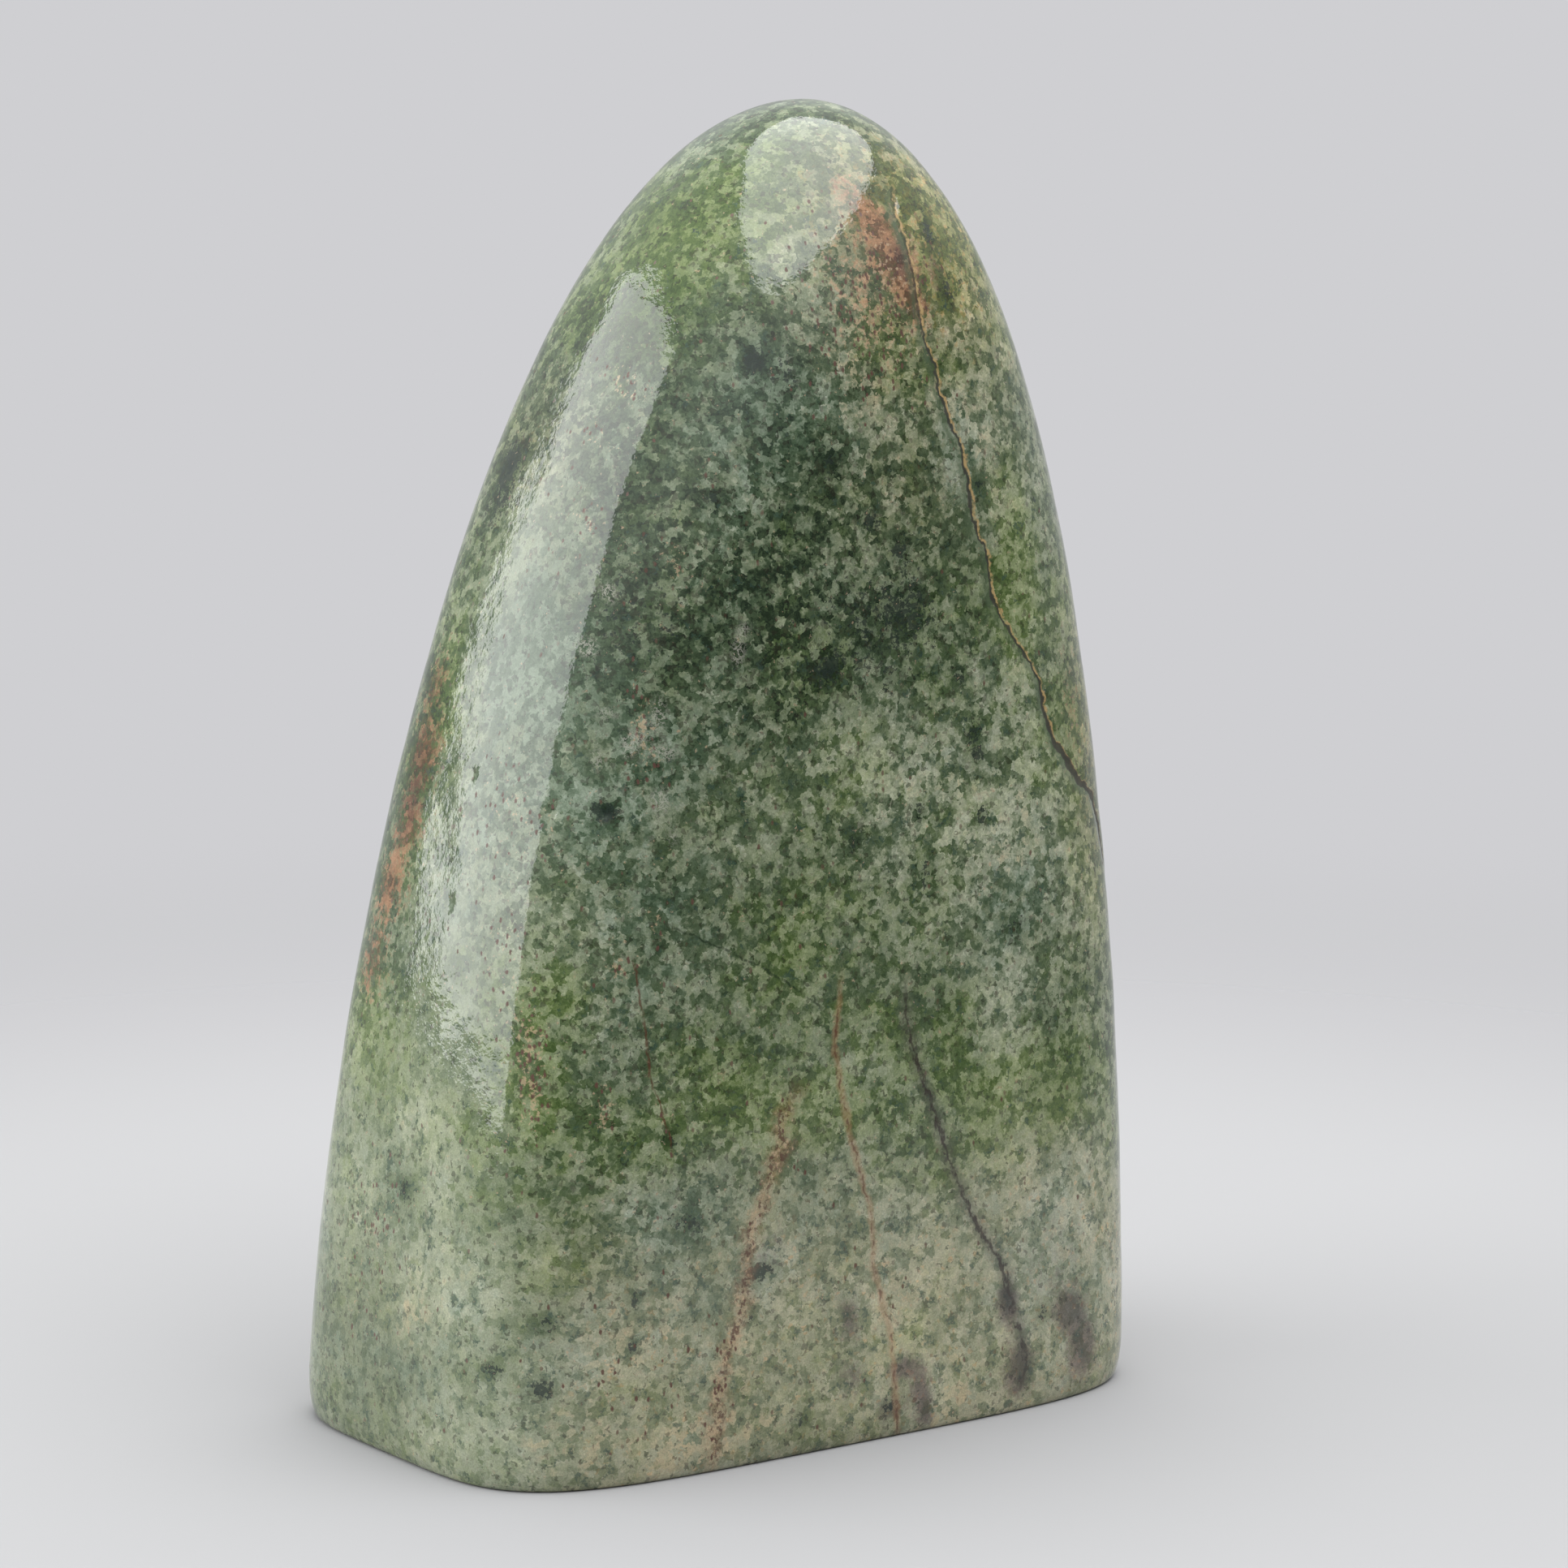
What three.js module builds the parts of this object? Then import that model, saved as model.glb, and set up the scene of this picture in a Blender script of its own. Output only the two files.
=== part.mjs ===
import * as THREE from 'three';

// A polished, free-standing serpentine stone: one solid, ground flat underneath, broad
// and squarish at the foot and drawn up into a rounded crown that leans to one side.
// Millimetres, Z up. X runs along the broad faces, the front one looks towards -Y, and
// the origin is the middle of the flat base.

// Overall size
const height = 122;
const halfWidth = 37.7;
const halfDepth = 22.9;

// How the half width closes with height: the flanks swell a little on the way up, then
// round over into the crown, and the two shoulders round over at different rates.
const flankSwell = 0.149;
const flankClosing = 1.59;
const leftShoulder = 2.05;
const rightShoulder = 1.87;
const shoulderBlend = 4;

// How the half depth closes: a straight taper, kept nearly to the top before it rounds.
const faceTaper = 0.244;
const faceClosing = 10.5;
const faceShoulder = 1.94;

// Plan of a section: squarish with soft corners at the foot, almost an ellipse on top
const footSquareness = 4.55;
const crownSquareness = 2.12;
const squarenessFade = 1.16;

// The crown's sideways lean, which grows with height, and its slight tilt forwards
const crownLean = 9.0;
const leanGrowth = 1.34;
const crownTilt = -1.06;

// The ground edge between the base and the sides
const edgeHeight = 5;
const edgeInset = 0.83;

// Facets
const segments = 88;
const edgeRings = 5;
const bodyRings = 32;

// The point on the surface at a share of the height, in a direction around the axis
function surfacePoint(share, angle) {
  const cosine = Math.cos(angle);
  const sine = Math.sin(angle);
  const rightness = 0.5 + 0.5 * Math.tanh(shoulderBlend * cosine);
  const shoulder = leftShoulder + (rightShoulder - leftShoulder) * rightness;
  const belowEdge = Math.max(1 - (share * height) / edgeHeight, 0);
  const inset = edgeInset * (1 - Math.sqrt(1 - belowEdge ** 2));
  const widthHere = halfWidth * (1 + flankSwell * share) * (1 - share ** flankClosing) ** (1 / shoulder);
  const depthHere = halfDepth * (1 - faceTaper * share) * (1 - share ** faceClosing) ** (1 / faceShoulder);
  const squareness = footSquareness + (crownSquareness - footSquareness) * share ** squarenessFade;
  const reach = (Math.abs(cosine) ** squareness + Math.abs(sine) ** squareness) ** (-1 / squareness);
  return new THREE.Vector3(
    (widthHere - inset) * reach * cosine + crownLean * share ** leanGrowth,
    (depthHere - inset) * reach * sine + crownTilt * share,
    share * height,
  );
}

// Shares of the height at which the rings lie: a quarter round over the ground edge,
// then steps that shorten towards the crown
function ringShares() {
  const shares = [];
  const edgeShare = edgeHeight / height;
  for (let ring = 0; ring < edgeRings; ring += 1) {
    shares.push(edgeShare * (1 - Math.cos((ring / edgeRings) * (Math.PI / 2))));
  }
  for (let ring = 0; ring < bodyRings; ring += 1) {
    shares.push(edgeShare + (1 - edgeShare) * Math.sin((ring / bodyRings) * (Math.PI / 2)));
  }
  return shares;
}

// The closed skin: rings of points joined by quads, a fan under the foot and one on top
function stoneGeometry() {
  const shares = ringShares();
  const points = [];
  const faces = [];
  for (const share of shares) {
    for (let segment = 0; segment < segments; segment += 1) {
      points.push(surfacePoint(share, (segment / segments) * 2 * Math.PI));
    }
  }
  const topRing = (shares.length - 1) * segments;
  const baseCentre = points.length;
  points.push(new THREE.Vector3(0, 0, 0));
  const crownTip = points.length;
  points.push(new THREE.Vector3(crownLean, crownTilt, height));
  for (let segment = 0; segment < segments; segment += 1) {
    const next = (segment + 1) % segments;
    for (let low = 0; low < topRing; low += segments) {
      const high = low + segments;
      faces.push(low + segment, low + next, high + next);
      faces.push(low + segment, high + next, high + segment);
    }
    faces.push(baseCentre, next, segment);
    faces.push(topRing + segment, topRing + next, crownTip);
  }
  const geometry = new THREE.BufferGeometry().setFromPoints(points);
  geometry.setIndex(faces);
  geometry.computeVertexNormals();
  return geometry;
}

// Polished grey-green serpentine
function polishedSerpentine() {
  return new THREE.MeshStandardMaterial({ color: 0x777e68, roughness: 0.15, metalness: 0 });
}

const stone = new THREE.Mesh(stoneGeometry(), polishedSerpentine());
stone.name = 'stone';

const group = new THREE.Group();
group.add(stone);

export default group;
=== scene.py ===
from math import atan2, cos, pi, radians, sin, tanh

import bmesh
import bpy
import numpy as np
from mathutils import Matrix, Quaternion, Vector


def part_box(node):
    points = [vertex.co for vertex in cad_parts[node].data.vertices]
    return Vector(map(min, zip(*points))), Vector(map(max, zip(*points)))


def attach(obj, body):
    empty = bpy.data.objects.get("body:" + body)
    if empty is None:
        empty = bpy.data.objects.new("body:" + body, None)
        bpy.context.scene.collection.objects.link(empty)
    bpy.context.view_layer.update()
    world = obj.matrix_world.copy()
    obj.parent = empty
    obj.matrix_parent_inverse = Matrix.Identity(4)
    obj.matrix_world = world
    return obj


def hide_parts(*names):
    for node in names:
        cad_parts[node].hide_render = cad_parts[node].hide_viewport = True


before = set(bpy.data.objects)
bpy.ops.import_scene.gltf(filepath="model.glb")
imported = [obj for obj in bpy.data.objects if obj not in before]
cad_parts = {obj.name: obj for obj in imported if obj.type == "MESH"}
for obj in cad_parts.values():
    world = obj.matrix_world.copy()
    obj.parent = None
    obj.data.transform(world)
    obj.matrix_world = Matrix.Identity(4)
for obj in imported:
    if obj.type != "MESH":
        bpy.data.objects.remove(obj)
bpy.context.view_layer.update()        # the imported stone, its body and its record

mm = 0.001
stoneLow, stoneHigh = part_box("stone")
print("frame: the packed stone is loaded")

cameraView = {
    "azimuth": -34.9,        # degrees round the stone, 0 looks along +Y
    "elevation": 15.4,       # of the camera above the foot, in degrees
    "distance": 0.5335,
    "heading": 35.58,        # where it points, a little to the right of the foot
    "pitch": -9.19,
    "fieldOfView": 16.0,
}


def placeCamera():
    view = cameraView
    turn, rise = radians(view["azimuth"]), radians(view["elevation"])
    camera = bpy.data.objects.new("camera", bpy.data.cameras.new("camera"))
    bpy.context.collection.objects.link(camera)
    camera.location = Vector((sin(turn) * cos(rise), -cos(turn) * cos(rise), sin(rise))) * view["distance"]
    camera.rotation_euler = (pi / 2 + radians(view["pitch"]), 0, -radians(view["heading"]))
    camera.data.sensor_fit = "HORIZONTAL"
    camera.data.angle = radians(view["fieldOfView"])
    camera.data.clip_start = 0.01
    bpy.context.scene.camera = camera
    bpy.context.scene.view_settings.view_transform = "Standard"


placeCamera()
print("camera: placed")


def plainColour(red, green, blue):       # from 0 to 255 each, to what the shader takes
    def straight(value):
        share = value / 255
        return share / 12.92 if share <= 0.04045 else ((share + 0.055) / 1.055) ** 2.4
    return (straight(red), straight(green), straight(blue), 1)


def addNode(tree, kind, values=None, **settings):
    node = tree.nodes.new("ShaderNode" + kind)
    for name, value in settings.items():
        setattr(node, name, value)
    for name, value in (values or {}).items():
        if isinstance(value, bpy.types.NodeSocket):
            tree.links.new(value, node.inputs[name])
        else:
            node.inputs[name].default_value = value
    return node


def sums(tree, operation, first, second=0.5, third=0.5):
    return addNode(tree, "Math", {0: first, 1: second, 2: third}, operation=operation).outputs[0]


def ease(tree, value, low, high, start=0.0, end=1.0):
    spread = {"Value": value, "From Min": low, "From Max": high, "To Min": start, "To Max": end}
    return addNode(tree, "MapRange", spread, interpolation_type="SMOOTHSTEP").outputs[0]


def blend(tree, share, first, second, way="MIX"):
    pair = {0: share, 6: first, 7: second}
    return addNode(tree, "Mix", pair, data_type="RGBA", blend_type=way).outputs[2]


def clouds(tree, where, scale, detail=2.0, roughness=0.5, output="Fac"):
    grain = {"Vector": where, "Scale": scale, "Detail": detail, "Roughness": roughness}
    return addNode(tree, "TexNoise", grain).outputs[output]


def nudge(tree, where, scale, reach):       # the place, shifted about by up to half the reach
    drift = clouds(tree, where, scale, 1, 0.5, "Color")
    centred = addNode(tree, "VectorMath", {0: drift, 1: (0.5, 0.5, 0.5)}, operation="SUBTRACT").outputs[0]
    shift = {0: centred, 1: (reach, reach, reach), 2: where}
    return addNode(tree, "VectorMath", shift, operation="MULTIPLY_ADD").outputs[0]


def threeParts(tree, vector):
    return addNode(tree, "SeparateXYZ", {0: vector}).outputs


stoneForm = {
    "height": stoneHigh.z - stoneLow.z,
    "halfWidth": 37.7 * mm,
    "halfDepth": 22.9 * mm,
    "flankSwell": 0.149,
    "flankClosing": 1.59,
    "leftShoulder": 2.05,
    "rightShoulder": 1.87,
    "shoulderBlend": 4,
    "faceTaper": 0.244,
    "faceClosing": 10.5,
    "faceShoulder": 1.94,
    "footSquareness": 4.55,
    "crownSquareness": 2.12,
    "squarenessFade": 1.16,
    "crownLean": 9.0 * mm,
    "leanGrowth": 1.34,
    "crownTilt": -1.06 * mm,
    "edgeHeight": 5 * mm,
    "edgeInset": 0.83 * mm,
    "columns": 60,           # cells across the foot
    "rows": 36,
    "edgeRings": 6,
    "bodyRings": 84,
    "capShare": 0.9,         # the share of the height where the cap begins
}


def surfacePoint(share, turn):           # at this share of the height, and this far round
    form = stoneForm
    rightness = 0.5 + 0.5 * tanh(form["shoulderBlend"] * cos(turn))
    shoulder = form["leftShoulder"] + (form["rightShoulder"] - form["leftShoulder"]) * rightness
    belowEdge = max(1 - share * form["height"] / form["edgeHeight"], 0)
    inset = form["edgeInset"] * (1 - (1 - belowEdge ** 2) ** 0.5)
    width = form["halfWidth"] * (1 + form["flankSwell"] * share)
    width *= (1 - share ** form["flankClosing"]) ** (1 / shoulder)
    depth = form["halfDepth"] * (1 - form["faceTaper"] * share)
    depth *= (1 - share ** form["faceClosing"]) ** (1 / form["faceShoulder"])
    fade = share ** form["squarenessFade"]
    power = form["footSquareness"] + (form["crownSquareness"] - form["footSquareness"]) * fade
    reach = (abs(cos(turn)) ** power + abs(sin(turn)) ** power) ** (-1 / power)
    return Vector((
        (width - inset) * reach * cos(turn) + form["crownLean"] * share ** form["leanGrowth"],
        (depth - inset) * reach * sin(turn) + form["crownTilt"] * share,
        share * form["height"],
    ))


def ringShares():                        # the height of each ring, closer together round the ground edge
    form = stoneForm
    edgeRings, bodyRings = form["edgeRings"], form["bodyRings"]
    edgeShare = form["edgeHeight"] / form["height"]
    climb = form["capShare"] - edgeShare
    edge = [edgeShare * (1 - cos(step / edgeRings * pi / 2)) for step in range(1, edgeRings + 1)]
    return edge + [edgeShare + climb * step / bodyRings for step in range(1, bodyRings + 1)]


def raiseStone():
    form = stoneForm
    bpy.ops.object.select_all(action="DESELECT")
    bpy.ops.mesh.primitive_grid_add(x_subdivisions=form["columns"], y_subdivisions=form["rows"], size=2)
    stone = bpy.context.object
    stone.name = "serpentineStone"
    bpy.ops.object.mode_set(mode="EDIT")
    bpy.ops.mesh.select_all(action="SELECT")
    below = 0
    for share in ringShares():           # up one ring at a time, the cap riding on top
        bpy.ops.mesh.extrude_region_move(TRANSFORM_OT_translate={"value": (0, 0, share - below)})
        below = share
    touching = 1e-6
    grown = bmesh.from_edit_mesh(stone.data)
    for vert in grown.verts:             # from a square column to the stone's own sections
        outward = max(abs(vert.co.x), abs(vert.co.y))
        turn = atan2(vert.co.y, vert.co.x)
        if vert.co.z < touching:
            vert.co = surfacePoint(0, turn) * outward
        elif outward < 1 - touching:
            share = form["capShare"] + (1 - form["capShare"]) * cos(outward * pi / 2)
            vert.co = surfacePoint(min(share, 1), turn)
        else:
            vert.co = surfacePoint(min(vert.co.z, form["capShare"]), turn)
    bmesh.update_edit_mesh(stone.data)
    bpy.ops.mesh.select_all(action="SELECT")
    bpy.ops.mesh.normals_make_consistent(inside=False)
    bpy.ops.object.mode_set(mode="OBJECT")
    smooth = stone.modifiers.new("smooth", "SUBSURF")
    smooth.levels = smooth.render_levels = 1
    bpy.ops.object.modifier_apply(modifier="smooth")
    bpy.ops.object.shade_smooth()
    return stone


stoneMarks = {
    # each seam runs into the stone as a sheet. Its route is where it meets the front face: x and z in mm
    "seams": {
        "crack": {
            "route": ((12.9, 115.4), (11.5, 111.9), (11.8, 108.1), (11.5, 104.1), (11.6, 100.4),
                      (12.5, 97.8), (12.5, 96.3), (13.2, 93.6), (14.7, 90.8), (15.4, 86), (15.6, 84.2),
                      (17.4, 80.2), (17.7, 76.7), (19.1, 74.3), (22.3, 70.6), (23.6, 68.7), (24.3, 65.3),
                      (25.4, 62.9), (28.3, 59.6), (30.4, 58), (32.6, 56.8), (34.5, 53), (37, 47), (41, 38)),
            "slant": 0.3, "top": 116, "bottom": 36, "fade": 4, "reachesBack": True,
        },
        "redVein": {
            "route": ((-4.5, 42), (-6.3, 35.5), (-8.3, 29.8), (-10.7, 24.2), (-12.2, 18.4), (-14.1, 12.8),
                      (-15.5, 8.5), (-16.7, 2.3), (-17, 0)),
            "slant": 0.15, "top": 36, "bottom": -2, "fade": 5, "reachesBack": False,
        },
        "tanVein": {
            "route": ((-1.1, 44.6), (-2.2, 37.3), (-0.6, 28.8), (1.5, 22.5), (1.9, 16.4), (3.6, 10.1),
                      (3.9, 5.5), (4.5, 0)),
            "slant": -0.1, "top": 45, "bottom": -2, "fade": 4, "reachesBack": False,
        },
        "darkVein": {
            "route": ((5.8, 47), (6, 38.5), (7, 34.6), (9.2, 29), (10.9, 23.9), (12.9, 19.8), (16.5, 14.3),
                      (17.4, 11), (19.3, 4.5), (17.5, 0.9), (17, 0)),
            "slant": 0.2, "top": 46, "bottom": -2, "fade": 9, "reachesBack": False,
        },
        "hairline": {
            "route": ((-22, 51.5), (-10, 45.6), (-1.7, 39.8), (4, 36)),
            "slant": 0, "top": 51, "bottom": 39.5, "fade": 1.5, "reachesBack": False,
        },
        "thread": {
            "route": ((-22.6, 48), (-22, 43), (-21.7, 36.5), (-20.5, 33.5), (-19.6, 29)),
            "slant": 0.1, "top": 48, "bottom": 29, "fade": 2, "reachesBack": False,
        },
    },
    "front": -21,            # where that face lies along y, in mm
    "sheetEnds": (-12, 2),   # the sheets that don't reach the back fade from the one to the other
    "steepest": 2,           # the most lean that a seam's width is kept for
    # soft patches of the rock, and a few of painted shade: centre and reach in mm, and how strong
    "patches": {
        "pale": (
            ((8, -21, 63), (10, 12, 8), 0.7), ((19, -20, 54), (8, 12, 8), 0.7),
            ((-7, -13, 106), (4, 8, 4), 0.4), ((16, -18, 92), (4, 9, 9), 0.5),
            ((22, -21, 40), (8, 10, 6), 0.3), ((3, -18, 101), (8, 8, 5), 0.3),
            ((-34, -6, 46), (5, 8, 16), 0.25), ((20, 20, 70), (14, 10, 14), 0.6),
            ((-16, 20, 90), (10, 10, 12), 0.5), ((-24, -20, 36), (7, 8, 5), 0.4),
            ((-27, -16, 52), (4, 6, 8), 0.4), ((-36, -6, 32), (3, 8, 6), 0.5),
            ((-36, 4, 38), (3, 9, 9), 0.3), ((22, -18, 80), (5, 8, 14), 0.5),
            # The negative patches round (-16, -3, 101), (-20, -8, 91), (-9, -3, 112) and (-13.5, -5, 104),
            # high on the left of the front, and round (3, -5, 119) at the crown's tip are painted shade:
            # they darken the rock where the upward-facing surface and the crown's rim are lit most.
            ((8, -15, 110), (6, 8, 6), 0.1), ((-16, -3, 101), (5, 9, 10), -0.75),
            ((-20, -8, 91), (6, 8, 7), -0.5), ((6, -21, 46), (10, 8, 6), 0.2),
            ((-9, -3, 112), (6, 9, 5), -0.5), ((-13.5, -5, 104), (4, 7, 4), -0.35),
            ((15, -20, 71), (4, 6, 4), -0.3), ((-17.9, -21.2, 34.6), (2.5, 5, 2.5), 0.45),
            ((-37, 2, 7), (6, 14, 6), -0.18), ((-9, -22, 7), (12, 8, 7), -0.25),
            ((-36, 6, 26), (4, 9, 6), 0.25), ((-29, -20, 16), (8, 8, 4), -0.3),
            ((-12, -20.5, 54), (9, 8, 7), 0.25), ((-5, -21.5, 35), (4, 8, 4), -0.25),
            ((3, -5, 119), (7, 9, 4), -0.5), ((5, -22.6, 6), (3, 5, 3), -0.3),
            ((19, -21, 36), (5, 8, 8), 0.3), ((0, -21.5, 39), (9, 8, 6), 0.2),
            ((15, -13, 105), (4, 8, 6), 0.3), ((-11, -19, 77), (6, 8, 6), -0.2),
            ((-8, -17, 91), (6, 8, 7), -0.25), ((-3, -21, 62), (8, 8, 5), 0.25),
            ((28, -20, 50), (4, 8, 8), 0.3),
        ),
        "dark": (
            ((-7.3, -16, 99.4), (0.9, 4, 1.1), 1.4), ((-5, -17, 97.6), (2.4, 6, 2), 0.7),
            ((-1, -19, 90.5), (2.2, 6, 2), 0.9), ((3.4, -19.5, 84.7), (1.2, 5, 1.4), 1.0),
            ((6.3, -19.7, 82), (1.2, 5, 1), 1.0), ((-12, -17, 87.8), (1.6, 5, 1.4), 0.8),
            ((-21, -14, 78), (7, 9, 11), 0.55), ((4, -20, 75), (7, 8, 6), 0.7),
            ((8, -20, 76.5), (2.6, 5, 3.4), 0.5), ((-8, -20, 74), (14, 8, 14), 0.35),
            ((-2.3, -20, 71.5), (1.6, 5, 1.4), 0.9), ((12.7, -20, 69.6), (1.2, 5, 1.2), 0.9),
            ((15.4, -20.6, 56.6), (1.4, 5, 1.5), 1.0), ((3.4, -22.7, 3.2), (1.4, 5, 1.1), 1.3),
            ((21.6, -22.2, 9), (1, 5, 1), 0.9), ((17.2, -22.3, 11.4), (0.8, 5, 1.4), 1.3),
            ((19, -22.3, 5.6), (1.2, 5, 2), 0.9), ((-6.6, -22.7, 3.4), (1, 4, 0.8), 1.1),
            ((14.6, -20, 64.6), (1.3, 5, 1.5), 1.3), ((15, -20, 62.3), (1.1, 5, 1), 1.1),
            ((8, -21, 58), (1, 5, 1), 1.1), ((0.3, -21, 56), (1.6, 5, 2), 0.8),
            ((8.5, -21, 52), (2, 5, 2), 0.8), ((18.7, -21, 46), (1.8, 6, 1.4), 1.0),
            ((-24, -17, 60.4), (1.2, 5, 1), 1.5), ((-20, -21, 31), (1, 5, 1), 1.1),
            ((-11.2, -22, 17.8), (1.7, 5, 1), 1.6), ((-24.4, -21.6, 12.8), (0.8, 4, 0.8), 1.2),
            ((-24, -21.4, 17), (0.7, 4, 0.9), 1.1), ((-12, -22, 13.9), (0.8, 4, 0.7), 1.1),
            ((-24, -20, 8), (14, 8, 9), 0.1), ((-32.6, -19, 9.6), (1.1, 4, 1), 1.3),
            ((-31.8, -19, 15.5), (1, 4, 0.9), 1.1), ((-35.6, -15.7, 11), (0.9, 3, 0.9), 1.1),
            ((-36.2, -2.2, 25), (1.6, 1.6, 1.4), 1.1), ((-18.3, -22, 23.3), (2.4, 5, 1.6), 1.1),
            ((-22.6, -20, 39.5), (4, 6, 3), 0.45), ((-20, 4, 89.6), (1.8, 3, 3), 1.1),
            ((-21.8, 4.2, 86), (2, 3, 3.6), 0.9), ((22.6, -21, 37), (2.4, 6, 2), 0.5),
            ((10, 20, 52), (10, 9, 12), 0.6), ((-12, 20, 64), (7, 8, 6), 0.6),
            ((13, -15, 110), (0.8, 4, 2.4), 1.1), ((14, -17, 104.6), (1.2, 4, 1.6), 1.0),
            ((15.9, -19, 87.2), (0.8, 4, 0.8), 1.3), ((5, 14, 100), (6, 8, 5), 0.6),
            # The patch round (-13, -11, 99) is painted shade: it darkens the top of the left highlight
            # strip, where the lamps light the stone more.
            ((-13, -11, 99), (5, 8, 7), 0.5), ((-36, 4, 6), (8, 20, 9), 0.3),
            ((-5, -17, 102), (6, 6, 3), 0.4), ((-27, 7, 64), (4, 5, 18), 0.4),
            ((25, 12, 66), (5, 8, 5), 0.7), ((-30, 16, 26), (5, 6, 4), 0.6),
        ),
        "moss": (
            ((-7, -5, 111), (7, 10, 6), 1.1), ((-12, -3, 104), (5, 8, 6), 0.7),
            ((20, -18, 80), (3, 8, 7), 1.0), ((-30, -18, 32), (7, 8, 6), 0.5),
            ((-17, -21, 33), (10, 8, 5), 0.6), ((-5, -21, 44), (12, 8, 7), 0.5),
            ((20, -21, 30), (10, 8, 6), 0.6), ((15, -13, 108), (5, 8, 6), 0.5),
            ((-34, 6, 38), (5, 10, 6), 0.7), ((-28, 5, 66), (4, 5, 16), 0.7),
            ((-33, -17, 18), (5, 8, 5), 0.3), ((-2, 20, 40), (16, 9, 8), 0.6),
            ((18, 18, 100), (8, 9, 8), 0.6), ((18, -8, 103), (7, 9, 10), 0.7),
            ((0, -20, 64), (6, 8, 8), 0.4), ((12, -14, 111), (5, 6, 6), 1.0),
            ((-4, -22.5, 9), (3, 6, 3), 0.4), ((10, -21, 36), (8, 8, 8), 0.4),
            ((28, -18, 62), (4, 6, 14), 0.8), ((-29, -15, 44), (4, 6, 8), 0.5),
            ((-6, -21, 31), (12, 8, 4), 0.5), ((20, -19, 74), (2.6, 8, 6), 0.6),
        ),
        "blue": (
            ((-20, -20, 48), (9, 8, 10), 0.3), ((-18.5, -22, 24), (5, 6, 4), 0.7),
            ((-7, -17, 98), (3, 8, 3), 0.6), ((-24, -17, 60), (4, 7, 4), 0.5),
            ((-26, -7, 74), (6, 8, 20), 0.8), ((-32, -19, 8), (5, 8, 6), 0.25),
            ((19, -21, 48), (5, 8, 5), 0.4), ((-11, -22, 18), (3, 5, 2.5), 0.9),
            ((14, 20, 80), (12, 9, 12), 0.5), ((-37, 0, 14), (4, 14, 12), 0.1),
            ((-4, -22, 24), (7, 7, 6), 0.4), ((-6, -17, 95), (8, 8, 6), 0.6),
            ((13.4, -18.7, 91), (3, 6, 4), 0.8), ((-20, -17, 69), (4, 8, 6), 0.5),
            ((-23, -21, 16), (8, 8, 5), 0.4), ((23, -22, 15), (6, 6, 8), 0.9),
        ),
        "rust": (
            ((6.4, -14.4, 112), (2, 4, 2), 0.8), ((7.9, -15.3, 109.2), (2, 4, 2.2), 0.9),
            ((9.2, -16.2, 106.2), (1.8, 4, 2.2), 0.9), ((10.2, -17, 103.4), (1.5, 4, 2), 0.7),
            ((4.4, -16, 107), (4, 5, 5), 0.45), ((5, -18, 102.4), (5, 5, 4), 0.3),
            ((12, -14.5, 108.5), (4, 5, 5), 0.3), ((4.6, -12.6, 114.6), (2.4, 4, 2), 0.5),
            ((28, -18, 66), (2, 5, 7), 0.4), ((-27.3, 6.4, 70), (2.4, 3.4, 3.6), 0.7),
            ((-28.9, 5.6, 63.4), (2.6, 3.4, 3.6), 0.9), ((-30.3, 5.6, 57), (2.6, 3.4, 3.6), 0.9),
            ((-31.8, 7.3, 51), (2.6, 3.4, 3.6), 0.9), ((-33, 8.4, 44), (2.6, 3.4, 4), 0.8),
            ((-12, 19, 40), (2, 6, 8), 0.6), ((22, 16, 88), (2, 6, 7), 0.6),
        ),
        "sand": (
            ((-26, -21, 14), (6, 6, 4), 0.7), ((-17, -22.5, 3), (9, 6, 3.5), 0.8),
            ((4, -18, 98), (9, 8, 6), 0.7), ((-13, -22, 9), (4, 6, 8), 0.5), ((4, -22, 12), (3, 6, 8), 0.4),
            ((-37, -2, 14), (3, 8, 8), 0.5), ((16, -18, 88), (5, 8, 10), 0.5),
            ((20, -20, 54), (7, 9, 7), 0.3), ((10.6, -15, 110.5), (0.8, 4, 3), 0.9),
            ((24, -21, 18), (6, 8, 8), 0.3), ((11, -22.6, 5), (3, 6, 4), 0.9),
            ((-31, -20, 5), (5, 6, 4), 0.5),
        ),
        "flecks": (
            ((-31.2, -15.6, 40), (0.9, 5, 2.6), 1.5), ((-31.4, -16, 35.4), (0.9, 5, 2.6), 1.4),
            ((-26.2, -19.6, 34), (0.9, 5, 2), 1.2), ((-24, -19.1, 47), (1.4, 5, 1.4), 1.2),
            ((-20.6, -21, 32), (0.9, 5, 2), 0.6), ((-20.3, -17.8, 67), (1.3, 6, 3.6), 1.1),
            ((-16.1, -16.6, 82.2), (0.8, 5, 2), 0.9), ((-20.8, -9.6, 85.5), (0.8, 3, 2), 0.8),
            ((-15.8, -8.6, 97), (0.7, 3, 3), 0.9), ((-18.5, -7.3, 92.8), (0.8, 3, 2), 0.5),
            ((-20.5, -19.6, 51), (0.8, 5, 2), 0.8), ((3.6, -17, 104), (6, 7, 6), 0.9),
            ((8.4, -16, 107), (3, 5, 5), 0.4), ((-29, -12, 60), (1.6, 6, 5), 0.5),
            ((-26, -21, 12), (6, 6, 6), 0.25), ((-31.6, -12.5, 48), (1.4, 4, 5), 0.45),
            ((-36.6, 2, 21), (1, 4, 8), 0.4), ((-6.2, -22, 27), (0.7, 5, 1.4), 0.8),
        ),
        "calm": (
            ((-34, -6, 44), (5, 9, 26), 1.0), ((-25, -6, 80), (7, 8, 20), 1.0),
            ((-37, 4, 20), (6, 22, 20), 0.9), ((-6, -20, 77), (12, 8, 10), -0.6),
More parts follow.
